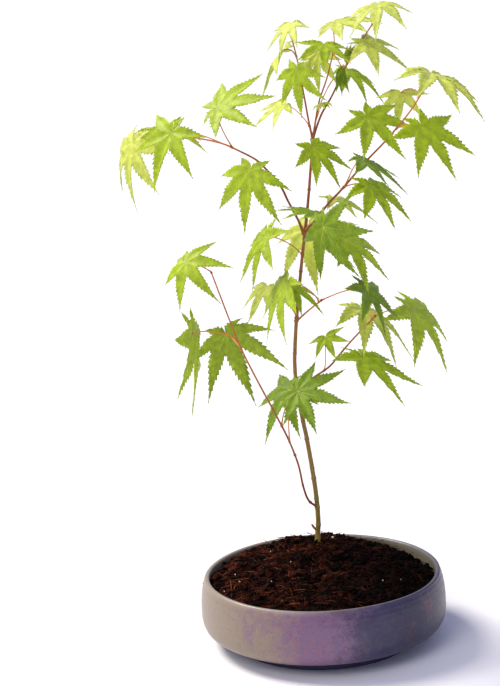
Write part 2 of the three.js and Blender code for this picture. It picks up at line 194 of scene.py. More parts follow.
def feed(node, inputs):
    """Sets each input to a value, or links it to a socket or to a node's first live output."""
    for key, value in inputs.items():
        if isinstance(value, bpy.types.Node):
            value = next(socket for socket in value.outputs if socket.enabled)
        if isinstance(value, bpy.types.NodeSocket):
            node.id_data.links.new(value, node.inputs[key])
        else:
            node.inputs[key].default_value = value


def add_node(tree, kind, inputs=(), stops=(), **settings):
    """Adds one node with its settings, its inputs and a colour ramp's stops. A shader node's kind
    may be given without its prefix."""
    node = tree.nodes.new(kind if "Node" in kind else "ShaderNode" + kind)
    for key, value in settings.items():
        setattr(node, key, value)
    feed(node, dict(inputs))
    for number, (place, value) in enumerate(stops):
        elements = node.color_ramp.elements
        element = elements[number] if number < len(elements) else elements.new(1.0)
        element.position, element.color = place, value
    return node


def new_material(name):
    """An empty material with its output in place, the means to add nodes to it, its shader and its
    own coordinates."""
    material = bpy.data.materials.new(name)
    material.use_nodes = True
    material.node_tree.nodes.clear()
    add = partial(add_node, material.node_tree)
    shader = add("BsdfPrincipled")
    add("OutputMaterial", {"Surface": shader})
    return material, add, shader, add("TexCoord").outputs["Object"]


class Shapes:
    """Many small shapes gathered for one joined mesh."""

    def __init__(self):
        self.points, self.faces, self.slots, self.uvs, self.ages, self.count = [], [], [], [], [], 0

    def add(self, points, faces, slots=0, uvs=None, ages=0.0):
        """Adds points and faces; slots is one number or one for each face, uvs one pair a corner."""
        points = np.asarray(points, float).reshape(-1, 3)
        self.points.append(points)
        self.faces += [tuple(i + self.count for i in face) for face in faces]
        self.slots += list(slots) if np.ndim(slots) else [slots] * len(faces)
        self.ages += list(ages) if np.ndim(ages) else [ages] * len(points)
        self.uvs += uvs if uvs is not None else [(0.0, 0.0)] * sum(map(len, faces))
        self.count += len(points)

    def build(self, name, materials, slot, replaced=()):
        """Makes the object, lets it ride on the tree's body and hides the parts that it replaces."""
        mesh = bpy.data.meshes.new(name)
        mesh.from_pydata(np.vstack(self.points).tolist(), [], self.faces)
        for material in materials:
            mesh.materials.append(material)
        mesh.polygons.foreach_set("material_index", self.slots)
        mesh.polygons.foreach_set("use_smooth", [True] * len(self.faces))
        mesh.uv_layers.new(name="blade")
        mesh.uv_layers["blade"].data.foreach_set("uv", np.array(self.uvs, np.float32).ravel())
        age = mesh.attributes.new("age", "FLOAT", "POINT")
        age.data.foreach_set("value", np.array(self.ages, np.float32))
        mesh.validate()
        return settle(mesh, name, replaced)


def settle(mesh, name, replaced=()):
    """Puts a finished mesh into the scene as a piece of the plant."""
    piece = bpy.data.objects.new(name, mesh)
    bpy.context.scene.collection.objects.link(piece)
    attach(piece, BODY)
    if replaced:
        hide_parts(*replaced)
    return piece


def through(route, step):
    """Evenly spaced places along the centripetal curve through a route, in metres."""
    p = np.array(route, float) * MM
    p = np.vstack([2 * p[0] - p[1], p, 2 * p[-1] - p[-2]])
    knots = np.concatenate([[0], np.cumsum(np.sqrt(np.linalg.norm(np.diff(p, axis=0), axis=1)))])
    places = [p[1]]
    for i in range(1, len(p) - 2):
        t = np.linspace(knots[i], knots[i + 1], 33)[1:, None]
        a = [((knots[j + 1] - t) * p[j] + (t - knots[j]) * p[j + 1]) / (knots[j + 1] - knots[j])
             for j in (i - 1, i, i + 1)]
        b = [((knots[j + 2] - t) * a[n] + (t - knots[j]) * a[n + 1]) / (knots[j + 2] - knots[j])
             for n, j in enumerate((i - 1, i))]
        places.extend(((knots[i + 1] - t) * b[0] + (t - knots[i]) * b[1]) / (knots[i + 1] - knots[i]))
    return evenly(np.array(places), step)


def evenly(places, step):
    """The same path with its places a step apart."""
    run = np.concatenate([[0], np.cumsum(np.linalg.norm(np.diff(places, axis=0), axis=1))])
    count = max(2, int(round(run[-1] / step)) + 1)
    at = np.linspace(0, run[-1], count)
    return np.stack([np.interp(at, run, places[:, k]) for k in range(3)], axis=1)


def ring_faces(rings, sides):
    """Faces between rings of places, with a fan to the two places that follow them."""
    faces = [(s * sides + k, s * sides + (k + 1) % sides, (s + 1) * sides + (k + 1) % sides,
              (s + 1) * sides + k) for s in range(rings - 1) for k in range(sides)]
    foot, last = rings * sides, (rings - 1) * sides
    faces += [(foot, (k + 1) % sides, k) for k in range(sides)]
    faces += [(foot + 1, last + k, last + (k + 1) % sides) for k in range(sides)]
    return faces


def tube(path, radii, sides):
    """Points and faces of a closed round tube. radii holds a number for each step, or for each
    step and side."""
    path, radii = np.asarray(path, float), np.asarray(radii, float)
    if radii.ndim == 1:
        radii = np.repeat(radii[:, None], sides, axis=1)
    tangents = np.gradient(path, axis=0)
    tangents /= np.linalg.norm(tangents, axis=1)[:, None]
    side = np.cross(tangents[0], (0.3, 1.0, 0.2))
    turn = np.arange(sides) * 2 * math.pi / sides
    points = []
    for centre, tangent, ring in zip(path, tangents, radii):
        side = side - tangent * side.dot(tangent)
        side /= np.linalg.norm(side)
        other = np.cross(tangent, side)
        points.append(centre + ring[:, None] * (np.cos(turn)[:, None] * side + np.sin(turn)[:,
                                                                                            None] * other))
    return np.vstack([*points, path[:1], path[-1:]]), ring_faces(len(path), sides)


def lathe(profile, sides, wobble=None):
    """Points and faces of a turned shape whose profile starts and ends on the axis."""
    profile = np.asarray(profile, float)
    turn = np.arange(sides) * 2 * math.pi / sides
    inner = profile[1:-1]
    points = [(r * math.cos(a), r * math.sin(a), z) for r, z in inner for a in turn]
    if wobble:
        points = [wobble(Vector(p)) for p in points]
    points += [(0, 0, profile[0][1]), (0, 0, profile[-1][1])]
    return points, ring_faces(len(inner), sides)


def quadratic(start, control, end, steps):
    """Places on a quadratic arc, without its first one."""
    start, control, end = (np.array(p, float) for p in (start, control, end))
    t = (np.arange(steps) + 1)[:, None] / steps
    return list((1 - t) ** 2 * start + 2 * t * (1 - t) * control + t ** 2 * end)


def straight(start, end, steps):
    """Places on a straight run, without its first one."""
    start, end = np.array(start, float), np.array(end, float)
    return [start + (end - start) * (k + 1) / steps for k in range(steps)]


# ---- Settings ------------------------------------------------------------------------------------

class BowlSettings(PropertyGroup):
    """The stoneware bowl."""
    wall: length("Wall", "Thickness of the thrown wall", 5.5)
    rim_inset: length("Rim inset", "How far the rim stands in from the widest part of the wall", 3.5)
    foot_inset: length("Foot inset", "How far the foot stands in from the widest part of the wall", 25)
    foot_height: length("Foot height", "Height of the unglazed foot", 8)
    wobble: length("Wobble", "How far the hand-thrown wall strays from round", 0.5)
    # Taupe and slate end the colour run across the outside of the bowl. It is partly the glaze's own
    # colour, partly painted light on the taupe side the key light falls on, and partly painted shade on the
    # slate side away from it.
    taupe: colour("Ash taupe", "Glaze where the kiln's ash settled", "#8e7f68")
    mauve: colour("Mauve", "Glaze between the ash and the blue", "#6c5a7e")
    dusk: colour("Dusk", "Glaze where the mauve turns blue", "#38324f")
    slate: colour("Slate", "Darkest of the blue glaze", "#1d1c35")
    ochre: colour("Ochre", "Iron breaking through the blue glaze", "#a65c44")
    lining: colour("Lining", "Glaze inside the bowl", "#8b8570")
    # Pale lip: thin glaze and a painted highlight on the rim; its tone darkens to the right with the
    # painted shade across the bowl.
    lip: colour("Lip", "Thin glaze worn pale on the lip", "#9c8f7c")
    # Bare clay of the foot, its dark violet partly painted shade under the bowl.
    clay: colour("Clay", "Fired clay of the bare foot", "#3a3450")


class SoilSettings(PropertyGroup):
    """The planted soil."""
    mound_height: length("Mound height", "How far the soil rises round the stem", 15.5)
    mound_spread: length("Mound spread", "How far out the mound reaches", 34)
    lumpiness: length("Lumpiness", "Height of the clods", 3.8)
    shrinkage: length("Shrinkage", "How far the soil has sunk along the wall", 5.0)
    crumbs: IntProperty(name="Crumbs", description="Loose crumbs on the soil", default=5200, min=0)
    clods: IntProperty(name="Clods", description="Bigger clods on the soil", default=700, min=0)
    fibres: IntProperty(name="Fibres", description="Coir fibres on the soil", default=480, min=0)
    grains: IntProperty(name="Perlite grains", description="White grains on the soil", default=18, min=0)
    seed: IntProperty(name="Seed", description="Changes how the crumbs fall", default=11)
    dark: colour("Damp peat", "Peat in the hollows", "#0a0403")
    brown: colour("Peat", "Peat on the clods", "#3c180e")
    russet: colour("Coir", "Fibres and dry bark chips", "#92522c")
    white: colour("Perlite", "Expanded volcanic glass", "#e6e0d2")


class BarkSettings(PropertyGroup):
    """The stem, boughs and leaf stalks."""
    step: length("Step", "Distance between rings of the bark mesh", 1.3)
    sides: IntProperty(name="Sides", description="Sides of the stem's mesh", default=16, min=6)
    node_swell: length("Node swell", "How far a node stands out from the bark", 0.5)
    relief: length("Relief", "Depth of the bark's ridges", 0.09)
    stalk_radius: length("Stalk radius", "Radius of a leaf stalk", 0.5)
    seed: IntProperty(name="Seed", description="Changes nodes, buds and stalks", default=5)
    old: colour("Old stem", "Olive bark of the lowest stem", "#8f7a24")
    middle: colour("Stem", "Bark half way up the stem", "#a06a24")
    young: colour("Young wood", "Red-brown bark of the boughs", "#9c521a")
    fresh: colour("Fresh growth", "Bark of the newest shoots", "#d07c2c")
    stalk: colour("Stalk", "Leaf stalks", "#dd9038")
    bud: colour("Bud", "Bud scales", "#8a3a24")


class FoliageSettings(PropertyGroup):
    """The leaves."""
    thickness: length("Thickness", "Thickness of a leaf blade", 0.36)
    half_width: FloatProperty(name="Lobe width", description="Half width of a lobe, as a share of the span",
                              default=0.118, min=0.02, max=0.3)
    sinus: FloatProperty(name="Notch", description="Where two lobes part, as a share of the span",
                         default=0.3, min=0.1, max=0.8)
    tooth: FloatProperty(name="Tooth", description="Depth of a margin tooth, as a share of the span",
                         default=0.027, min=0.0, max=0.1)
    fold: FloatProperty(name="Fold", description="How steeply a lobe folds up from its midrib",
                        default=0.42, min=0.0, max=1.0)
    seed: IntProperty(name="Seed", description="Changes how each leaf bends", default=3)
    # Leaf tones: partly the leaves' age, partly painted light and shade, paler where a leaf stands in light
    # and deeper where it stands in shade.
    deep: colour("Deep green", "Older, shaded leaves", "#76920c")
    middling: colour("Green", "Most leaves", "#a4ba1c")
    pale: colour("Pale green", "Youngest leaves", "#c6d058")
    underside: colour("Underside", "Duller back of the blades", "#a8ba34")
    vein: colour("Vein", "Main veins of the blades", "#c8d160")


class StageSettings(PropertyGroup):
    """Floor, light and camera."""
    floor_size: FloatProperty(name="Floor size", description="Side of the floor", unit="LENGTH",
                              default=160.0)
    key_strength: FloatProperty(name="Key light", description="Strength of the main light", default=3.3,
                                min=0.0)
    fill_strength: FloatProperty(name="Fill light", description="Strength of the second light", default=0.9,
                                 min=0.0)
    room_strength: FloatProperty(name="Room light", description="Strength of the room's light",
                                 default=0.62, min=0.0)
    floor: colour("Floor", "Plain pale floor", "#f2f1f2")
    key: colour("Key colour", "Colour of the main light", "#fff8ec")
    room: colour("Room colour", "Colour of the room's light", "#cdd1fb")


# ---- Bowl ----------------------------------------------------------------------------------------

def bowl_profile(s):
    """Radius and height of the bowl from the middle of its underside, out, up, over the lip and in."""
    wide, top = POT_HIGH.x, POT_HIGH.z
    rim, foot, heel = wide - s.rim_inset, wide - s.foot_inset, wide - 12 * MM
    rise = s.foot_height
    lip = rim - s.wall * LIP_WIDTH
    belly, inside = ([z * MM for z in heights] for heights in (BELLY, INSIDE))
    floor, inner = FLOOR_TOP * MM, wide - s.wall
    line = [(0, 0)]
    line += straight((0, 0), (foot - 1.2 * MM, 0), 8)
    line += quadratic((foot - 1.2 * MM, 0), (foot, 0), (foot, 1.2 * MM), 3)
    line += straight((foot, 1.2 * MM), (foot - MM, rise), 4)
    line += straight((foot - MM, rise), (heel - MM, rise + 1.7 * MM), 4)
    line += quadratic((heel - MM, rise + 1.7 * MM), (heel, rise + 1.6 * MM),
                      (heel + 1.5 * MM, rise + 2.6 * MM), 3)
    line += quadratic(line[-1], (wide - 0.8 * MM, rise + 4 * MM), (wide, belly[0]), 14)
    line += quadratic((wide, belly[0]), (wide + 0.5 * MM, belly[1]), (rim, top - 2 * MM), 20)
    line += quadratic((rim, top - 2 * MM), (rim - 0.4 * MM, top), ((rim + lip) / 2, top), 6)
    line += quadratic(((rim + lip) / 2, top), (lip + 0.4 * MM, top), (lip, top - 2 * MM), 6)
    line += straight((lip, top - 2 * MM), (inner, inside[1]), 6)
    line += straight((inner, inside[1]), (inner, inside[0]), 3)
    line += quadratic((inner, inside[0]), (inner, floor + MM), (heel - 2 * MM, floor), 4)
    line += straight((heel - 2 * MM, floor), (0, floor), 4)
    return line


def reactive_glaze(s):
    """Reduction-fired stoneware glaze, satin. It runs from taupe on one side through mauve to slate on the
    other, partly the glaze's own colour and partly painted light on the lit taupe side and painted shade on
    the slate side, with iron specks a millimetre or two wide; the foot is bare clay, its dark violet partly
    painted shade under the bowl."""
    material, add, shader, place = new_material("reduction_fired_stoneware_glaze")
    axes = add("SeparateXYZ", {"Vector": place})
    drift = add("TexNoise", {"Vector": place, "Scale": 22.0, "Detail": 6.0, "Roughness": 0.62})
    swing = add("Math", {0: drift, 1: 0.5}, operation="SUBTRACT")
    across = add("Math", {0: axes.outputs["X"], 1: 0.5 / POT_HIGH.x, 2: 0.5}, operation="MULTIPLY_ADD")
    moved_zones = add("Math", {0: swing, 1: 0.4, 2: across}, operation="MULTIPLY_ADD")
    # The borders between the colours are broken up into blotches 3 to 8 mm wide.
    fray = add("TexNoise", {"Vector": place, "Scale": 140.0, "Detail": 8.0, "Roughness": 0.8})
    frayed = add("Math", {0: fray, 1: 0.5}, operation="SUBTRACT")
    shifted = add("Math", {0: frayed, 1: 0.5, 2: moved_zones}, operation="MULTIPLY_ADD")
    # Painted light and painted shade, partly the glaze's own colour: lit taupe on the left, mauve and dusk
    # in the middle, dark slate on the shaded right.
    glaze_and_shade_ramp = add("ValToRGB", {"Fac": shifted},
                stops=[(0.08, s.taupe), (0.22, s.taupe), (0.4, s.mauve), (0.53, s.mauve), (0.66, s.dusk),
                       (0.82, s.slate)])
    mottle = add("TexNoise", {"Vector": place, "Scale": 260.0, "Detail": 8.0, "Roughness": 0.8})
    soft = add("ValToRGB", {"Fac": mottle},
               stops=[(0.3, srgb("#6e6a78")), (0.5, srgb("#ffffff")), (0.7, srgb("#ffe9dc"))])
    mottled = add("Mix", {"Factor": 0.35, 6: glaze_and_shade_ramp, 7: soft}, data_type="RGBA", blend_type="MULTIPLY")
    # Iron specks about 1.5 mm wide, red-brown, and cobalt ones a little smaller.
    iron = add("TexNoise", {"Vector": place, "Scale": 720.0, "Detail": 6.0, "Roughness": 0.75})
    iron_mask = add("MapRange", {"Value": iron, "From Min": 0.46, "From Max": 0.57, "To Max": 0.55})
    belt = add("ValToRGB", {"Fac": moved_zones},
               stops=[(0.2, srgb("#202020")), (0.36, srgb("#ffffff")), (0.5, srgb("#ffffff")),
                      (0.7, srgb("#404040"))])
    iron_by = add("Math", {0: iron_mask, 1: belt}, operation="MULTIPLY")
    specked = add("Mix", {"Factor": iron_by, 6: mottled, 7: s.ochre}, data_type="RGBA")
    moved = add("Mapping", {"Vector": place, "Location": (0.3, 0.1, 0.2)})
    cobalt = add("TexNoise", {"Vector": moved, "Scale": 900.0, "Detail": 6.0, "Roughness": 0.75})
    cobalt_mask = add("MapRange", {"Value": cobalt, "From Min": 0.5, "From Max": 0.68, "To Max": 0.45})
    blued = add("Mix", {"Factor": cobalt_mask, 6: specked, 7: srgb("#3a4484")}, data_type="RGBA")
    # Broad ochre blooms on the blue side only.
    bloom = add("TexNoise", {"Vector": moved, "Scale": 60.0, "Detail": 9.0, "Roughness": 0.85})
    bloom_mask = add("MapRange", {"Value": bloom, "From Min": 0.52, "From Max": 0.66})
    side = add("MapRange", {"Value": across, "From Min": 0.78, "From Max": 0.97, "To Max": 0.6})
    bloomed_by = add("Math", {0: bloom_mask, 1: side}, operation="MULTIPLY")
    bloomed = add("Mix", {"Factor": bloomed_by, 6: blued, 7: s.ochre}, data_type="RGBA")
    # Thin glaze pulls pale off the lip, and the pale band there is also a painted highlight; a green line
    # pools over the heel; below it the clay is bare, its dark violet partly painted shade under the bowl.
    ragged = add("Math", {0: swing, 1: 3.5 * MM, 2: axes.outputs["Z"]}, operation="MULTIPLY_ADD")
    # Inside, the glaze is a plain greenish ash grey all round.
    level = add("VectorMath", {0: place, 1: (1.0, 1.0, 0.0)}, operation="MULTIPLY")
    reach = add("VectorMath", {0: level}, operation="LENGTH")
    inward = add("MapRange", {"Value": reach, "From Min": POT_HIGH.x - 4.2 * MM,
                              "From Max": POT_HIGH.x - 6.2 * MM})
    above = add("MapRange", {"Value": axes.outputs["Z"], "From Min": 13 * MM, "From Max": 15 * MM})
    inside = add("Math", {0: inward, 1: above}, operation="MULTIPLY")
    lined = add("Mix", {"Factor": inside, 6: bloomed, 7: s.lining}, data_type="RGBA")
    # Painted highlight on the lip together with the thin glaze, darkening to the right with the painted
    # shade across the bowl.
    lip = add("MapRange", {"Value": ragged, "From Min": POT_HIGH.z - 3.2 * MM,
                           "From Max": POT_HIGH.z - 0.9 * MM, "To Max": 0.6})
    lip_glaze_light_and_shade = add("ValToRGB", {"Fac": shifted},
                   stops=[(0.25, s.lip), (0.5, srgb("#756a66")), (0.75, srgb("#3f3b55"))])
    lipped = add("Mix", {"Factor": lip, 6: lined, 7: lip_glaze_light_and_shade}, data_type="RGBA")
    pool = add("MapRange", {"Value": axes.outputs["Z"], "From Min": 12.6 * MM, "From Max": 11.0 * MM,
                            "To Max": 0.7})
    pooled = add("Mix", {"Factor": pool, 6: lipped, 7: srgb("#3c5a56")}, data_type="RGBA")
    # Bare clay below the heel, painted dark violet, partly as painted shade under the bowl.
    bare = add("MapRange", {"Value": axes.outputs["Z"], "From Min": 10.4 * MM, "From Max": 9.9 * MM})
    clay = add("Mix", {"Factor": bare, 6: pooled, 7: s.clay}, data_type="RGBA")
    sheen = add("MapRange", {"Value": mottle, "From Min": 0.3, "From Max": 0.7, "To Min": 0.3,
                             "To Max": 0.5})
    dull = add("Mix", {"Factor": bare, "A": sheen, "B": 0.8}, data_type="FLOAT")
    # Orange-peel texture of the glaze, a few millimetres across.
    peel = add("TexNoise", {"Vector": place, "Scale": 330.0, "Detail": 3.0})
    bump = add("Bump", {"Height": peel, "Strength": 0.28, "Distance": 0.5 * MM})
    feed(shader, {"Base Color": clay, "Roughness": dull, "Normal": bump, "IOR": 1.5, "Coat Weight": 0.12,
                  "Coat Roughness": 0.22})
    return material


class MAPLE_OT_throw_bowl(Operator):
    """Throw the stoneware bowl and glaze it"""
    bl_idname = "maple.throw_bowl"
    bl_label = "Throw bowl"

    def execute(self, context):
        s = context.scene.maple_bowl

        def wobble(p):
            out = Vector((p.x, p.y, 0))
            reach = out.length
            if reach < 0.6 * POT_HIGH.x or p.z < s.foot_height:
                return p
            stray = noise.noise(Vector((p.x * 14, p.y * 14, p.z * 20)))
            # Faint throwing rings, about 4 mm apart.
            ring = 0.1 * MM * math.sin(p.z / MM * 2 * math.pi / 4.2 + math.atan2(p.y, p.x))
            rise = 0.35 * MM * noise.noise(Vector((p.x * 11 + 5, p.y * 11, 0))) * min(1.0, p.z / POT_HIGH.z)
            grown = out.normalized() * (reach + s.wobble * stray * 0.6 + ring)
            return Vector((grown.x, grown.y, p.z + rise))

        points, faces = lathe(bowl_profile(s), BOWL_SIDES, wobble)
        bowl = Shapes()
        bowl.add(points, faces)
        bowl.build("bowl", [reactive_glaze(s)], "glazed_stoneware", POT_NODES)
        return {"FINISHED"}


# ---- Soil ----------------------------------------------------------------------------------------

def soil_height(x, y, s, reach):
    """Height of the soil in metres: low at the wall, mounded round the stem, cloddy all over."""
    away = max(0.0, math.hypot(x - STEM_FOOT[0] * MM, y - STEM_FOOT[1] * MM) - PLATEAU * MM)
    mound = s.mound_height * math.exp(-((away / s.mound_spread) ** 2) / 2)
    radius = math.hypot(x, y) / reach
    wall = 1 - min(1.0, radius) ** 10
    clods = noise.fractal(Vector((x * 70, y * 70, 0.3)), 1.0, 2.1, 4, noise_basis="PERLIN_ORIGINAL")
    grit = noise.noise(Vector((x * 420, y * 420, 1.7)))
    calm = min(1.0, 0.35 + away / (25 * MM)) * (1 - 0.4 * min(1.0, radius) ** 8)
    # The soil has shrunk from the wall, most on the damp side.
    sunk = s.shrinkage * min(1.0, radius) ** 7 * (0.35 + 0.65 * max(0.0, min(1.0, x / reach + 0.3)))
    return SOIL_LEVEL * MM + mound * wall + (s.lumpiness * clods + 0.5 * MM * grit) * calm - sunk


def peat(name, s, dark, light, scale):
    """Fibrous peat compost, matt and damp: near-black and reddish brown crumbs, with painted shade and
    painted light in patches a centimetre or two wide, and painted shade on the side away from the key
    light.
    """
    material, add, shader, place = new_material(name)
    crumb = add("TexNoise", {"Vector": place, "Scale": scale, "Detail": 7.0, "Roughness": 0.7})
    tone = add("ValToRGB", {"Fac": crumb}, stops=[(0.44, dark), (0.6, light), (0.82, s.russet)])
    # Painted shade: the side away from the key light is painted darker.
    axes = add("SeparateXYZ", {"Vector": place})
    painted_shade_across = add("MapRange", {"Value": axes.outputs["X"], "From Min": -70 * MM, "From Max": 60 * MM,
                            "To Min": 1.25, "To Max": 0.2})
    # Painted light and painted shade in patches about 15 mm wide: darker patches stand for shaded hollows,
    # brighter ones for lit clods.
    hollow = add("TexNoise", {"Vector": place, "Scale": 62.0, "Detail": 4.0, "Roughness": 0.6})
    painted_light_and_shade = add("MapRange", {"Value": hollow, "From Min": 0.4, "From Max": 0.6, "To Min": 0.22,
                              "To Max": 1.35})
    dimmed = add("Math", {0: painted_shade_across, 1: painted_light_and_shade}, operation="MULTIPLY")
    painted_peat_tone = add("VectorMath", {0: tone, "Scale": dimmed}, operation="SCALE")
    bump = add("Bump", {"Height": crumb, "Strength": 0.7, "Distance": 0.8 * MM})
    feed(shader, {"Base Color": painted_peat_tone, "Normal": bump, "Roughness": 0.95, "Specular IOR Level": 0.06})
    return material


def perlite(s):
    """Expanded perlite, chalky white grains with pores under half a millimetre."""
    material, add, shader, place = new_material("expanded_perlite")
    pores = add("TexNoise", {"Vector": place, "Scale": 1500.0, "Detail": 3.0})
    tone = add("ValToRGB", {"Fac": pores}, stops=[(0.35, srgb("#a89c88")), (0.55, s.white)])
    bump = add("Bump", {"Height": pores, "Strength": 0.5, "Distance": 0.2 * MM})
    feed(shader, {"Base Color": tone, "Normal": bump, "Roughness": 0.9})
    return material


def scatter_tree(name, shape, material):
    """A Geometry Nodes tree that strews a shape over a surface at a seeded density, and leaves only
    the strewn shapes, realized. shape adds the nodes of one shape and returns the last of them."""
    tree = bpy.data.node_groups.new(name, "GeometryNodeTree")
    face = tree.interface
    face.new_socket("Geometry", in_out="INPUT", socket_type="NodeSocketGeometry")
    for label, kind in (("Density", "NodeSocketFloat"), ("Seed", "NodeSocketInt"),
                        ("Smallest", "NodeSocketVector"), ("Largest", "NodeSocketVector"),
                        ("Tilt", "NodeSocketFloat"), ("Lift", "NodeSocketFloat")):
        face.new_socket(label, in_out="INPUT", socket_type=kind)
    face.new_socket("Geometry", in_out="OUTPUT", socket_type="NodeSocketGeometry")
    given = add_node(tree, "NodeGroupInput").outputs
    points = add_node(tree, "GeometryNodeDistributePointsOnFaces",
                      {"Mesh": given["Geometry"], "Density": given["Density"], "Seed": given["Seed"]})
    size = add_node(tree, "FunctionNodeRandomValue",
                    {0: given["Smallest"], 1: given["Largest"], "Seed": given["Seed"]},
                    data_type="FLOAT_VECTOR")
    back = add_node(tree, "Math", {0: given["Tilt"], 1: -1.0}, operation="MULTIPLY")
    low = add_node(tree, "CombineXYZ", {"X": back, "Y": back, "Z": -math.pi})
    high = add_node(tree, "CombineXYZ", {"X": given["Tilt"], "Y": given["Tilt"], "Z": math.pi})
    turn = add_node(tree, "FunctionNodeRandomValue", {0: low, 1: high, "Seed": 7}, data_type="FLOAT_VECTOR")
    raised = add_node(tree, "CombineXYZ", {"Z": given["Lift"]})
    lifted = add_node(tree, "GeometryNodeSetPosition", {"Geometry": points, "Offset": raised})
    strewn = add_node(tree, "GeometryNodeInstanceOnPoints",
                      {"Points": lifted, "Instance": shape(tree), "Rotation": turn, "Scale": size})
    real = add_node(tree, "GeometryNodeRealizeInstances", {"Geometry": strewn})
    painted = add_node(tree, "GeometryNodeSetMaterial", {"Geometry": real, "Material": material})
    add_node(tree, "NodeGroupOutput", {"Geometry": painted})
    return tree


def lump_shape(subdivisions, rough):
    """Nodes of a lump one unit across, knocked out of round."""
    def add_shape(tree):
        ball = add_node(tree, "GeometryNodeMeshIcoSphere", {"Radius": 0.5, "Subdivisions": subdivisions})
        dents = add_node(tree, "TexNoise", {"Scale": 2.6, "Detail": 2.0})
        middle = add_node(tree, "VectorMath", {0: dents.outputs["Color"], 1: (0.5, 0.5, 0.5)},
                          operation="SUBTRACT")
        push = add_node(tree, "VectorMath", {0: middle, "Scale": rough}, operation="SCALE")
        lump = add_node(tree, "GeometryNodeSetPosition", {"Geometry": ball, "Offset": push})
        return lump
    return add_shape


def fibre_shape(tree):
    """Nodes of a bent fibre one unit long."""
    bend = add_node(tree, "GeometryNodeCurveQuadraticBezier",
                    {"Resolution": 5, "Start": (-0.5, 0, 0), "Middle": (0.05, 0.16, 0.12),
                     "End": (0.5, 0, 0)})
    ring = add_node(tree, "GeometryNodeCurvePrimitiveCircle", {"Resolution": 3, "Radius": 0.02})
    strand = add_node(tree, "GeometryNodeCurveToMesh",
                      {"Curve": bend, "Profile Curve": ring, "Fill Caps": True})
    return strand


def strew(ground, name, tree, values):
    """Runs a scatter tree over the ground and keeps what it strews as a plain piece."""
    bed = ground.copy()
    bpy.context.scene.collection.objects.link(bed)
    modifier = bed.modifiers.new(name, "NODES")
    modifier.node_group = tree
    for item in tree.interface.items_tree:
        if item.item_type == "SOCKET" and item.in_out == "INPUT" and item.name in values:
            modifier[item.identifier] = values[item.name]
    bpy.context.view_layer.update()
    mesh = bpy.data.meshes.new_from_object(bed.evaluated_get(bpy.context.evaluated_depsgraph_get()))
    bpy.data.objects.remove(bed)
    if not mesh.polygons:
        raise RuntimeError(f"{name} strewed nothing")
    mesh.name = name
    return settle(mesh, name)


def soil_mesh(s, reach):
    """Points and faces of the soil, and how many of the points lie on its open surface."""
    points, faces = [(0, 0, soil_height(0, 0, s, reach))], []
    around = range(SOIL_SIDES)
    for ring in range(1, SOIL_RINGS + 1):
        radius = reach * ring / SOIL_RINGS
        for k in around:
            turn = 2 * math.pi * (k + 0.5 * (ring % 2)) / SOIL_SIDES
            x, y = radius * math.cos(turn), radius * math.sin(turn)
            points.append((x, y, soil_height(x, y, s, reach)))
    open_count = len(points)
    for k in around:
        turn = 2 * math.pi * (k + 0.5 * (SOIL_RINGS % 2)) / SOIL_SIDES
        points.append((reach * math.cos(turn), reach * math.sin(turn), SOIL_BED))
    points.append((0, 0, SOIL_BED))
    faces += [(0, 1 + k, 1 + (k + 1) % SOIL_SIDES) for k in around]
    for ring in range(1, SOIL_RINGS + 1):
        a, b = 1 + (ring - 1) * SOIL_SIDES, 1 + ring * SOIL_SIDES
        faces += [(a + k, b + k, b + (k + 1) % SOIL_SIDES, a + (k + 1) % SOIL_SIDES) for k in around]
    faces += [(len(points) - 1, open_count + (k + 1) % SOIL_SIDES, open_count + k) for k in around]
    return points, faces, open_count


class MAPLE_OT_fill_soil(Operator):
    """Fill the bowl with soil and strew it with crumbs, fibres and perlite"""
    bl_idname = "maple.fill_soil"
    bl_label = "Fill soil"

    def execute(self, context):
        s = context.scene.maple_soil
        reach = SOIL_HIGH.x - SOIL_MARGIN
        points, faces, open_count = soil_mesh(s, reach)
        soil = Shapes()
        soil.add(points, faces)
        soil.build("soil_bed", [peat("damp_peat_compost", s, s.dark, s.brown, 260.0)], "potting_soil",
                   ["soil"])

        # Crumbs fall on the open surface only, not on the buried sides.
        bed = bpy.data.objects.new("crumb_bed", bpy.data.meshes.new("crumb_bed"))
        bed.data.from_pydata(points[:open_count], [], [f for f in faces if max(f) < open_count])
        area = math.pi * reach ** 2
        crumb = peat("peat_crumbs", s, s.dark, s.brown, 150.0)
        fibre = peat("coir_fibre", s, s.brown, s.russet, 90.0)
        # What is strewn: its shape, material and number, its smallest and largest length, width and
        # height in millimetres, how far it tips in radians and how high it lies in millimetres.
        strewn = {
            "soil_crumbs": (lump_shape(1, 0.5), crumb, s.crumbs, (0.8, 0.8, 0.8), (3.2, 2.4, 1.9), 3.1,
                            0.2),
            "soil_clods": (lump_shape(2, 0.6), crumb, s.clods, (2.4, 2.4, 2.4), (9.5, 7.0, 5.6), 0.7, 0.2),
            "soil_fibres": (fibre_shape, fibre, s.fibres, (5, 3, 6), (24, 15, 16), 0.4, 0.7),
            "perlite_grains": (lump_shape(2, 0.7), perlite(s), s.grains, (1, 1, 1), (2.7, 2.2, 1.8), 3.1,
                               0.9),
        }
        for number, (name, row) in enumerate(strewn.items()):
            shape, material, count, smallest, largest, tilt, lift = row
            strew(bed, name, scatter_tree(f"strew_{name}", shape, material), {
                "Density": count / area, "Seed": s.seed + number, "Smallest": [v * MM for v in smallest],
                "Largest": [v * MM for v in largest], "Tilt": tilt, "Lift": lift * MM})
        bpy.data.objects.remove(bed)
        return {"FINISHED"}


# ---- Stem, boughs and stalks ---------------------------------------------------------------------

def limb_paths(s):
    """The path of each limb, in metres."""
    return {name: through(route, s.step) for name, (_, _, route) in LIMBS.items()}


def run_of(path):
    """Distance along a path at each of its places."""
    return np.concatenate([[0], np.cumsum(np.linalg.norm(np.diff(path, axis=0), axis=1))])


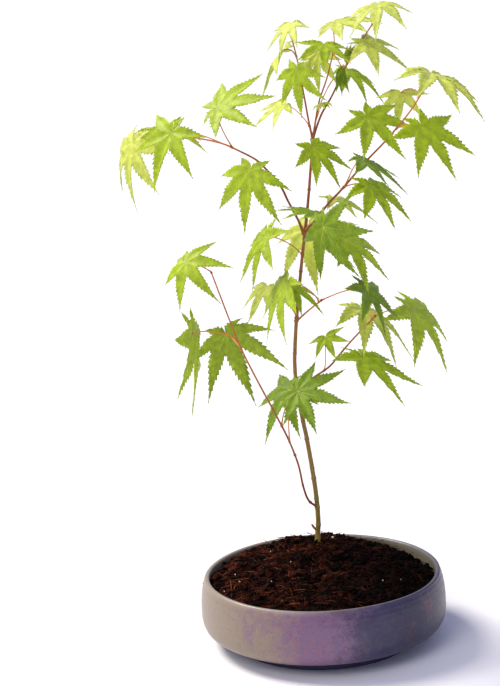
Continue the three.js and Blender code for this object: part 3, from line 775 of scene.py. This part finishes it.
def nodes_of(name, paths):
    """Distances along a limb at which a stalk, a bough or an old scar makes a node."""
    path = paths[name]
    run = run_of(path)
    found = [row[2] * run[-1] for row in LEAVES.values() if row[1] == name]
    for other, line in paths.items():
        gaps = np.linalg.norm(path - line[0], axis=1)
        if other != name and gaps.min() < 4 * MM:
            found.append(run[gaps.argmin()])
    for z in BARE_NODES.get(name, ()):
        found.append(run[np.abs(path[:, 2] - z * MM).argmin()])
    return sorted(found)


def bark(s):
    """Young maple bark, smooth with faint ridges along the stem and pale breathing pores about half
    a millimetre wide. It goes from olive through brown to red-brown, and to orange on new shoots."""
    material, add, shader, place = new_material("young_maple_bark")
    age = add("Attribute", attribute_name="age").outputs["Fac"]
    patch = add("TexNoise", {"Vector": place, "Scale": 120.0, "Detail": 4.0})
    stray = add("Math", {0: patch, 1: 0.5}, operation="SUBTRACT")
    shifted = add("Math", {0: stray, 1: 0.22, 2: age}, operation="MULTIPLY_ADD")
    tone = add("ValToRGB", {"Fac": shifted},
               stops=[(0.05, s.old), (0.36, s.middle), (0.58, s.young), (0.68, s.young), (0.88, s.fresh)])
    drawn = add("Mapping", {"Vector": place, "Scale": (1.0, 1.0, 0.18)})
    ridges = add("TexNoise", {"Vector": drawn, "Scale": 1500.0, "Detail": 4.0})
    darker = add("MapRange", {"Value": ridges, "From Min": 0.35, "From Max": 0.65, "To Min": 0.62,
                              "To Max": 1.15})
    shaded = add("VectorMath", {0: tone, "Scale": darker}, operation="SCALE")
    pores = add("TexVoronoi", {"Vector": place, "Scale": 420.0})
    pore = add("MapRange", {"Value": pores, "From Min": 0.16, "From Max": 0.1, "To Max": 0.5})
    spotted = add("Mix", {"Factor": pore, 6: shaded, 7: srgb("#b89468")}, data_type="RGBA")
    bump = add("Bump", {"Height": ridges, "Strength": 0.5, "Distance": 0.2 * MM})
    feed(shader, {"Base Color": spotted, "Normal": bump, "Roughness": 0.5})
    return material


def stalk_skin(name, base, tip):
    """Smooth waxy skin of a leaf stalk or bud, redder where it leaves the wood."""
    material, add, shader, place = new_material(name)
    age = add("Attribute", attribute_name="age").outputs["Fac"]
    patch = add("TexNoise", {"Vector": place, "Scale": 260.0, "Detail": 3.0})
    stray = add("Math", {0: patch, 1: 0.5}, operation="SUBTRACT")
    shifted = add("Math", {0: stray, 1: 0.5, 2: age}, operation="MULTIPLY_ADD")
    tone = add("ValToRGB", {"Fac": shifted}, stops=[(0.1, base), (0.8, tip)])
    bump = add("Bump", {"Height": patch, "Strength": 0.2, "Distance": 0.1 * MM})
    feed(shader, {"Base Color": tone, "Normal": bump, "Roughness": 0.38})
    return material


def bud(shapes, place, heading, size, rng):
    """A pointed bud of overlapping scales, as one small closed shape."""
    heading = Vector(heading).normalized()
    turn = Vector((0, 0, 1)).rotation_difference(heading).to_matrix()
    outline = [(0, 0), (0.3, 0.02), (0.44, 0.22), (0.36, 0.5), (0.38, 0.54), (0.2, 0.82), (0, 1.0)]
    points, faces = lathe(outline, BUD_SIDES)
    spin = Matrix.Rotation(rng.uniform(0, math.pi), 3, "Z")
    shapes.add([tuple(Vector(place) + turn @ (spin @ (Vector(p) * size))) for p in points], faces,
               ages=[p[2] for p in points])


def limb_rings(name, paths, radii, across, s):
    """Radius of a limb at each step and side: its taper, its collar, its nodes and its ridges."""
    path = paths[name]
    run = run_of(path)
    share = run / run[-1]
    sides = s.sides if name == "trunk" else BOUGH_SIDES
    radius = (radii[0] + (radii[1] - radii[0]) * share) * MM
    # A collar where the limb leaves the wood below it, and a rounded tip.
    collar = (1.1 if name == "trunk" else 0.55) * MM
    radius = radius + collar * np.exp(-run / (3.5 * MM))
    radius = radius * np.sqrt(np.clip((run[-1] - run) / (1.2 * MM), 0.08, 1.0))
    rings = np.repeat(radius[:, None], sides, axis=1)
    turn = np.arange(sides) * 2 * math.pi / sides
    for number, place in enumerate(nodes_of(name, paths)):
        # Opposite buds: each pair stands at a right angle to the one below it.
        facing = across + number * math.pi / 2
        pair = np.abs(np.cos(turn - facing)) ** 3
        ridge = np.exp(-((run - place) / (0.9 * MM)) ** 2)
        scar = np.exp(-((run - place + 1.6 * MM) / (0.35 * MM)) ** 2)
        swell = s.node_swell * (1.0 if name in BARE_NODES else 0.6)
        rings += swell * (ridge[:, None] * (0.45 + 0.75 * pair[None, :]) - 0.25 * scar[:, None])
    stretched = [[noise.noise(Vector((math.cos(a) * 2.2, math.sin(a) * 2.2, d * 120 + len(path))))
                  for a in turn] for d in run]
    return rings + s.relief * np.array(stretched) * (radius[:, None] / MM).clip(0.4, 1.5)


class MAPLE_OT_grow_limbs(Operator):
    """Grow the stem and boughs with their nodes and bark"""
    bl_idname = "maple.grow_limbs"
    bl_label = "Grow limbs"

    def execute(self, context):
        s = context.scene.maple_bark
        rng = np.random.default_rng(s.seed)
        paths = limb_paths(s)
        wood, buds = Shapes(), Shapes()
        for name, (radii, ages, _) in LIMBS.items():
            path = paths[name]
            run = run_of(path)
            rings = limb_rings(name, paths, radii, rng.uniform(0, math.pi), s)
            sides = rings.shape[1]
            points, faces = tube(path, rings, sides)
            young = ages[0] + (ages[1] - ages[0]) * (run / run[-1])
            wood.add(points, faces, ages=[*np.repeat(young, sides), young[0], young[-1]])

        # The stub of a lost twig just above the soil.
        stub = through([(-2, 41.5, 77), (-4.6, 40.5, 79.5), (-6.6, 39.5, 83)], 0.5 * MM)
        points, faces = tube(stub, np.linspace(1.15, 0.85, len(stub)) * MM, 9)
        wood.add(points, faces, ages=0.3)
        wood.build("stem_and_boughs", [bark(s)], "maple_bark", list(LIMBS))

        for name in ("shoot_left", "shoot_middle", "shoot_right", "bough_left", "bough_right",
                     "bough_low_left", "bough_low_right", "bough_small_right"):
            path = paths[name]
            heading = path[-1] - path[-3]
            for lean in (-0.35, 0.35):
                side = np.cross(heading, (0.2, 1, 0.1))
                side /= np.linalg.norm(side)
                bud(buds, path[-2], heading / np.linalg.norm(heading) + lean * side,
                    rng.uniform(1.9, 2.6) * MM, rng)
        for name, row in LEAVES.items():
            path = paths[row[1]]
            if row[2] >= 0.99:
                continue
            k = min(len(path) - 2, int(row[2] * (len(path) - 1)))
            along = path[k + 1] - path[k]
            along /= np.linalg.norm(along)
            out = np.array(row[3]) * MM - path[k]
            out /= np.linalg.norm(out)
            bud(buds, path[k] + 0.8 * MM * out + 0.5 * MM * along, along + 0.9 * out,
                rng.uniform(1.5, 2.2) * MM, rng)
        buds.build("winter_buds", [stalk_skin("bud_scales", s.bud, s.young)], "maple_bark")
        return {"FINISHED"}


# ---- Leaves --------------------------------------------------------------------------------------

def leaf_axes(heading, dip, roll):
    """Along the middle lobe, to its left, and up through the upper side."""
    h, d, r = (math.radians(a) for a in (heading, dip, roll))
    along = Vector((math.cos(d) * math.cos(h), math.cos(d) * math.sin(h), -math.sin(d)))
    left = Matrix.Rotation(r, 3, along) @ Vector((-math.sin(h), math.cos(h), 0))
    return np.array(along), np.array(left), np.array(along.cross(left))


def polar(angle, radius):
    """A place on the flat blade from its angle and its distance from where the lobes meet."""
    return np.array((math.cos(angle) * radius, math.sin(angle) * radius))


class Blade:
    """One leaf blade, built flat lobe by lobe and bent as it is built."""

    def __init__(self, span, spread, curl, s, rng, lobes=None):
        self.span, self.curl, self.s, self.rng = span, curl, s, rng
        self.points, self.faces, self.uvs, self.index, self.ribs = [], [], [], {}, []
        self.fold = s.fold * rng.uniform(0.6, 1.25)
        self.lobes = lobes or (3 if span >= 36 * MM else 2)
        numbers = range(-self.lobes, self.lobes + 1)
        self.turns = {i: math.radians(LOBES[abs(i)][0] * spread) * np.sign(i) for i in numbers}
        for i in numbers:
            self.add_lobe(i)

    def notch(self, i, side):
        """Where lobe i parts from its neighbour on that side; on the outside, where it meets the stalk."""
        j = i + side
        if j in self.turns:
            reach = min(LOBES[abs(i)][1], LOBES[abs(j)][1])
            return polar((self.turns[i] + self.turns[j]) / 2,
                         self.s.sinus * self.span * min(1.0, reach / 0.6))
        outer = min(abs(self.turns[i]) + math.radians(52), math.radians(174))
        return polar(side * outer, 0.075 * self.span)

    def place(self, flat, lateral, past, bend):
        """Lifts a place on the flat blade: the lobes fold up from their midribs, curl down along
        their length and each sways, droops and twists past its notch."""
        droop, sway, twist, across = bend
        flat = flat + across * sway * self.span * past ** 2
        height = -self.curl * flat.dot(flat) / self.span
        height += self.fold * (1 - 0.45 * past) * abs(lateral) - droop * self.span * past ** 2
        height += twist * past * lateral
        ripple = math.sin(past * 15 + lateral * 40 / self.span)
        height += 0.006 * self.span * ripple * min(1.0, past * 3)
        return (flat[0], flat[1], height)

    def vertex(self, place):
        """The number of a place, which is the same for lobes that share it."""
        key = tuple(round(v, 7) for v in place)
        if key not in self.index:
            self.index[key] = len(self.points)
            self.points.append(place)
        return self.index[key]

    def add_lobe(self, i):
        """Adds one lobe as two strips from its midrib to its toothed margins."""
        s, rng, span = self.s, self.rng, self.span
        turn, reach = self.turns[i], LOBES[abs(i)][1] * self.rng.uniform(0.94, 1.05)
        tip, half = reach * span, s.half_width * span * math.sqrt(reach)
        axis, across = polar(turn, 1.0), polar(turn + math.pi / 2, 1.0)
        bend = (rng.uniform(-0.02, 0.09), rng.uniform(-0.06, 0.06), rng.uniform(-0.35, 0.35), across)
        notches = {side: self.notch(i, side) for side in (1, -1)}
        joint = 0.72 * sum(n.dot(axis) for n in notches.values()) / 2
        base_steps, teeth = 3, max(4, int(round(10 * reach)))
        stations = []
        for k in range(teeth):
            stations += [(k + 0.05) / (teeth + 1.2), (k + 0.8) / (teeth + 1.2)]
        stations += [0.93, 0.975, 1.0]
        rib = [np.zeros(2)] + [axis * joint * (k + 1) / base_steps for k in range(base_steps)]
        rib += [axis * (joint + (tip - joint) * u) for u in stations[1:]]
        past = [0.0] * (base_steps + 1) + stations[1:]
        spine = [self.place(p, 0.0, u, bend) for p, u in zip(rib, past)]
        self.ribs.append((spine, reach))
        for side, start in notches.items():
            depth, reach_out = start.dot(axis), start.dot(across) * side
            edge = [start * k / base_steps for k in range(base_steps + 1)]
            for n, u in enumerate(stations[1:]):
                full = reach_out + (half - reach_out) * min(1.0, u / 0.25)
                width = (1 - u) ** 1.7 * (1 + 2.5 * u) * full
                if u < 0.9:
                    fade = min(1.0, 0.25 + 1.3 * width / span / s.half_width)
                    size = s.tooth * span * rng.uniform(0.45, 1.35) * fade
                    width += size * (0.62 if n % 2 == 0 else -0.45)
                along = depth + (tip - depth) * min(1.0, u + (0.03 if n % 2 == 0 else 0.0))
                edge.append(axis * along + across * side * max(0.0, width if u < 1 else 0.0))
            rows = []
            for n, (inner, outer) in enumerate(zip(rib, edge)):
                shared = n <= base_steps
                row = []
                for share in (0.0, 0.5, 1.0):
                    flat = inner + (outer - inner) * share
                    lateral = flat.dot(across)
                    own = 0.0 if shared else past[n]
                    point = self.place(flat, lateral, own, bend)
                    row.append((self.vertex(point), (flat.dot(axis) / span, lateral / span)))
                rows.append(row)
            for lower, upper in zip(rows, rows[1:]):
                for k in range(2):
                    corners = [lower[k], upper[k], upper[k + 1], lower[k + 1]]
                    self.add_face(corners if side > 0 else corners[::-1])

    def add_face(self, corners):
        """Adds a face, without the corners that fall together at a tip or where the lobes meet."""
        kept = []
        for corner in corners:
            if not kept or (corner[0] != kept[-1][0] and corner[0] != kept[0][0]):
                kept.append(corner)
        if len(kept) > 2:
            self.faces.append(tuple(c[0] for c in kept))
            self.uvs.append([c[1] for c in kept])

    def shell(self, thickness):
        """The blade as a closed sheet: upper side in slot 0, underside and edge in slot 1."""
        points = np.array(self.points)
        normals = np.zeros_like(points)
        edges = {}
        for face in self.faces:
            normal = np.cross(points[face[1]] - points[face[0]], points[face[2]] - points[face[0]])
            for k, corner in enumerate(face):
                normals[corner] += normal
                edges[(corner, face[(k + 1) % len(face)])] = True
        normals /= np.linalg.norm(normals, axis=1)[:, None] + 1e-12
        count = len(points)
        lower = points - normals * thickness
        faces = list(self.faces) + [tuple(i + count for i in reversed(face)) for face in self.faces]
        uvs = [uv for face in self.uvs for uv in face] + [uv for face in self.uvs for uv in reversed(face)]
        slots = [0] * len(self.faces) + [1] * len(self.faces)
        for a, b in edges:
            if (b, a) not in edges:
                faces.append((b, a, a + count, b + count))
                uvs += [(0.5, 0.1)] * 4
                slots.append(1)
        return np.vstack([points, lower]), faces, slots, uvs


def leaf_skin(name, blade, vein, gloss, through_light):
    """A young leaf blade, thin enough to glow when lit from behind, with side veins about 4 mm apart
    that run out from each midrib, and a faint mottle."""
    material, add, shader, place = new_material(name)
    flat = add("UVMap", uv_map="blade")
    axes = add("SeparateXYZ", {"Vector": flat})
    off = add("Math", {0: axes.outputs["Y"]}, operation="ABSOLUTE")
    slant = add("Math", {0: off, 1: -1.1, 2: axes.outputs["X"]}, operation="MULTIPLY_ADD")
    wave = add("Math", {0: slant, 1: 0.042}, operation="PINGPONG")
    line = add("MapRange", {"Value": wave, "From Min": 0.005, "From Max": 0.0, "To Max": 0.25})
    mottle = add("TexNoise", {"Vector": place, "Scale": 170.0, "Detail": 4.0, "Roughness": 0.6})
    dim = add("MapRange", {"Value": mottle, "From Min": 0.3, "From Max": 0.7, "To Min": 0.7,
                           "To Max": 1.18})
    toned = add("VectorMath", {0: blade[:3], "Scale": dim}, operation="SCALE")
    veined = add("Mix", {"Factor": line, 6: toned, 7: vein}, data_type="RGBA")
    height = add("Math", {0: line, 1: -0.8, 2: mottle}, operation="MULTIPLY_ADD")
    bump = add("Bump", {"Height": height, "Strength": 0.35, "Distance": 0.4 * MM})
    feed(shader, {"Base Color": veined, "Normal": bump, "Roughness": gloss, "Specular IOR Level": 0.3,
                  "Subsurface Weight": through_light, "Subsurface Radius": (0.9, 1.0, 0.12),
                  "Subsurface Scale": 1.2 * MM})
    return material


def stalk_path(start, end, grows, arrives):
    """A slightly bowed stalk from the wood to where the lobes meet."""
    start, end = np.array(start, float), np.array(end, float)
    chord = end - start
    reach = np.linalg.norm(chord)
    out = chord / reach
    leave = out * 0.75 + grows * 0.35
    enter = out * 0.8 + arrives * 0.4
    handles = [start, start + leave * reach * 0.33, end - enter * reach * 0.33, end]
    handles[1] += np.array((0, 0, 0.03 * reach))
    t = np.linspace(0, 1, 15)[:, None]
    return ((1 - t) ** 3 * handles[0] + 3 * t * (1 - t) ** 2 * handles[1]
            + 3 * t ** 2 * (1 - t) * handles[2] + t ** 3 * handles[3])


class MAPLE_OT_grow_leaves(Operator):
    """Grow every leaf with its stalk and veins, and the youngest leaves at the shoot tips"""
    bl_idname = "maple.grow_leaves"
    bl_label = "Grow leaves"

    def execute(self, context):
        s, wood = context.scene.maple_foliage, context.scene.maple_bark
        rng = np.random.default_rng(s.seed)
        paths = limb_paths(wood)
        leaf_tones_by_age_and_light = [Shapes(), Shapes(), Shapes()]
        replaced = [[], [], []]
        stalks, ribs = Shapes(), Shapes()

        def leaf(tone, start, grows, base, axes, span, spread, curl, lobes=None):
            along, left, up = axes
            made = Blade(span, spread, curl, s, rng, lobes)
            thickness = s.thickness * min(1.0, span / (30 * MM))
            points, faces, slots, uvs = made.shell(thickness)
            turn = np.stack([along, left, up])
            leaf_tones_by_age_and_light[tone].add(base + points @ turn, faces, slots, uvs)
            for spine, reach in made.ribs:
                path = base + np.array(spine[:-2]) @ turn - up * thickness * 0.4
                thin = span / (52 * MM)
                radii = np.linspace(0.32, 0.1, len(path)) * MM * thin * math.sqrt(reach)
                ribs.add(*tube(path, radii, RIB_SIDES))
            path = stalk_path(start, base - up * thickness * 0.5, grows, along)
            fine = min(1.0, 0.45 + span / (80 * MM))
            radii = wood.stalk_radius * fine * (1 + 0.9 * np.exp(-np.linspace(0, 1, len(path)) * 14)
                                                + 0.35 * np.exp(-(1 - np.linspace(0, 1, len(path))) * 12))
            points, faces = tube(path, radii, STALK_SIDES)
            shade = np.linspace(0, 1, len(path))
            stalks.add(points, faces, ages=[*np.repeat(shade, STALK_SIDES), 0.0, 1.0])

        for name, (tone, limb, station, base, heading, dip, roll, span, spread, curl) in LEAVES.items():
            path = paths[limb]
            k = station * (len(path) - 1)
            low = min(int(k), len(path) - 2)
            start = path[low] + (path[low + 1] - path[low]) * (k - low)
            grows = path[low + 1] - path[low]
            leaf(tone, start, grows / np.linalg.norm(grows), np.array(base) * MM,
                 leaf_axes(heading, dip, roll), span * MM, spread, curl)
            replaced[tone].append(name)

        # Half-open leaves, each a little larger or smaller than its given span.
        for tone, limb, station, base, heading, dip, roll, span, spread, curl, lobes in YOUNG_LEAVES:
            path = paths[limb]
            k = int(station * (len(path) - 2))
            grows = path[k + 1] - path[k]
            leaf(tone, path[k], grows / np.linalg.norm(grows), np.array(base) * MM,
                 leaf_axes(heading, dip, roll), span * rng.uniform(0.92, 1.08) * MM, spread, curl, lobes)

        names = (("deep", s.deep), ("middling", s.middling), ("pale", s.pale))
        for (label, tint), shapes, nodes in zip(names, leaf_tones_by_age_and_light, replaced):
            under = tuple(0.45 * a + 0.55 * b for a, b in zip(tint, s.underside))
            shapes.build(f"leaves_{label}", [
                leaf_skin(f"maple_leaf_{label}", tint, s.vein, 0.52, 0.4),
                leaf_skin(f"maple_leaf_{label}_back", under, s.vein, 0.65, 0.4)], "maple_leaf", nodes)
        ribs.build("leaf_midribs", [leaf_skin("maple_leaf_midrib", s.vein, s.vein, 0.5, 0.2)], "maple_leaf")
        stalks.build("leaf_stalks", [stalk_skin("maple_stalk_skin", wood.fresh, wood.stalk)], "maple_leaf")
        return {"FINISHED"}


# ---- Stage ---------------------------------------------------------------------------------------

CAMERA_PLACE = (0.0, -1.15, 0.45547)    # metres
CAMERA_PITCH, CAMERA_YAW, CAMERA_ROLL = 10.15, 2.42, 3.3
CAMERA_LENS = 76.2                      # millimetres, on a 36 mm sensor


def camera_turn():
    """The camera's axes from its pitch down, its yaw to the left and its roll."""
    p, y, r = (math.radians(a) for a in (CAMERA_PITCH, CAMERA_YAW, CAMERA_ROLL))
    ahead = Vector((-math.sin(y) * math.cos(p), math.cos(y) * math.cos(p), -math.sin(p)))
    right = ahead.cross(Vector((0, 0, 1))).normalized()
    up = right.cross(ahead)
    right, up = right * math.cos(r) - up * math.sin(r), up * math.cos(r) + right * math.sin(r)
    return Matrix((right, up, -ahead)).transposed()


def white_board(s):
    """Matt white painted board, with a faint roller texture about 3 mm wide."""
    material, add, shader, place = new_material("matt_white_board")
    roller = add("TexNoise", {"Vector": place, "Scale": 330.0, "Detail": 2.0})
    tone = add("MapRange", {"Value": roller, "To Min": 0.985, "To Max": 1.0})
    shade = add("VectorMath", {0: s.floor[:3], "Scale": tone}, operation="SCALE")
    feed(shader, {"Base Color": shade, "Roughness": 0.9, "Specular IOR Level": 0.1})
    return material


def add_sun(name, strength, tint, azimuth, elevation, softness):
    """A soft distant light from an azimuth, counted from +X towards +Y, and an elevation."""
    light = bpy.data.lights.new(name, "SUN")
    light.energy, light.color, light.angle = strength, tint[:3], math.radians(softness)
    lamp = bpy.data.objects.new(name, light)
    a, e = math.radians(azimuth), math.radians(elevation)
    source = Vector((math.cos(a) * math.cos(e), math.sin(a) * math.cos(e), math.sin(e)))
    lamp.rotation_euler = source.to_track_quat("Z", "Y").to_euler()
    bpy.context.scene.collection.objects.link(lamp)


class MAPLE_OT_set_stage(Operator):
    """Set the floor, the light and the camera"""
    bl_idname = "maple.set_stage"
    bl_label = "Set stage"

    def execute(self, context):
        s, scene = context.scene.maple_stage, context.scene
        half = s.floor_size / 2
        mesh = bpy.data.meshes.new("floor")
        corners = [(-half, -half, 0), (half, -half, 0), (half, half, 0), (-half, half, 0)]
        mesh.from_pydata(corners, [], [(0, 1, 2, 3)])
        mesh.materials.append(white_board(s))
        floor = bpy.data.objects.new("floor", mesh)
        floor.location.z = POT_LOW.z
        scene.collection.objects.link(floor)

        add_sun("key_light", s.key_strength, s.key, 155, 52, 22)
        add_sun("fill_light", s.fill_strength, s.key, 235, 40, 30)
        world = bpy.data.worlds.new("white_studio")
        world.use_nodes = True
        tree = world.node_tree
        tree.nodes.clear()
        seen = add_node(tree, "LightPath")
        light = add_node(tree, "Background", {"Color": s.room, "Strength": s.room_strength})
        white = add_node(tree, "Background", {"Color": (1, 1, 1, 1), "Strength": 1.05})
        both = add_node(tree, "MixShader", {0: seen.outputs["Is Camera Ray"], 1: light, 2: white})
        add_node(tree, "OutputWorld", {"Surface": both})
        scene.world = world
        scene.view_settings.view_transform = "Standard"

        lens = bpy.data.cameras.new("camera")
        lens.lens, lens.sensor_width = CAMERA_LENS, 36.0
        lens.clip_start, lens.clip_end = 0.01, 500.0
        camera = bpy.data.objects.new("camera", lens)
        camera.matrix_world = Matrix.Translation(CAMERA_PLACE) @ camera_turn().to_4x4()
        scene.collection.objects.link(camera)
        scene.camera = camera
        return {"FINISHED"}


class MAPLE_PT_panel(Panel):
    """Lists the steps of the potted maple"""
    bl_idname = "MAPLE_PT_panel"
    bl_label = "Potted maple"
    bl_space_type = "VIEW_3D"
    bl_region_type = "UI"
    bl_category = "Potted maple"

    def draw(self, context):
        for group, operators in STEPS:
            box = self.layout.box()
            settings = getattr(context.scene, group)
            for name in settings.__annotations__:
                box.prop(settings, name)
            for operator in operators:
                box.operator(operator.bl_idname)


STEPS = (
    ("maple_bowl", (MAPLE_OT_throw_bowl,)),
    ("maple_soil", (MAPLE_OT_fill_soil,)),
    ("maple_bark", (MAPLE_OT_grow_limbs,)),
    ("maple_foliage", (MAPLE_OT_grow_leaves,)),
    ("maple_stage", (MAPLE_OT_set_stage,)),
)
GROUPS = {"maple_bowl": BowlSettings, "maple_soil": SoilSettings, "maple_bark": BarkSettings,
          "maple_foliage": FoliageSettings, "maple_stage": StageSettings}
CLASSES = [*GROUPS.values(), *(o for _, operators in STEPS for o in operators), MAPLE_PT_panel]


def register():
    for item in CLASSES:
        bpy.utils.register_class(item)
    for name, group in GROUPS.items():
        setattr(bpy.types.Scene, name, PointerProperty(type=group))


def unregister():
    for name in GROUPS:
        delattr(bpy.types.Scene, name)
    for item in reversed(CLASSES):
        bpy.utils.unregister_class(item)


def main():
    """Builds every piece in order."""
    register()
    bpy.ops.maple.throw_bowl()
    bpy.ops.maple.fill_soil()
    bpy.ops.maple.grow_limbs()
    bpy.ops.maple.grow_leaves()
    bpy.ops.maple.set_stage()


if __name__ == "__main__":
    main()
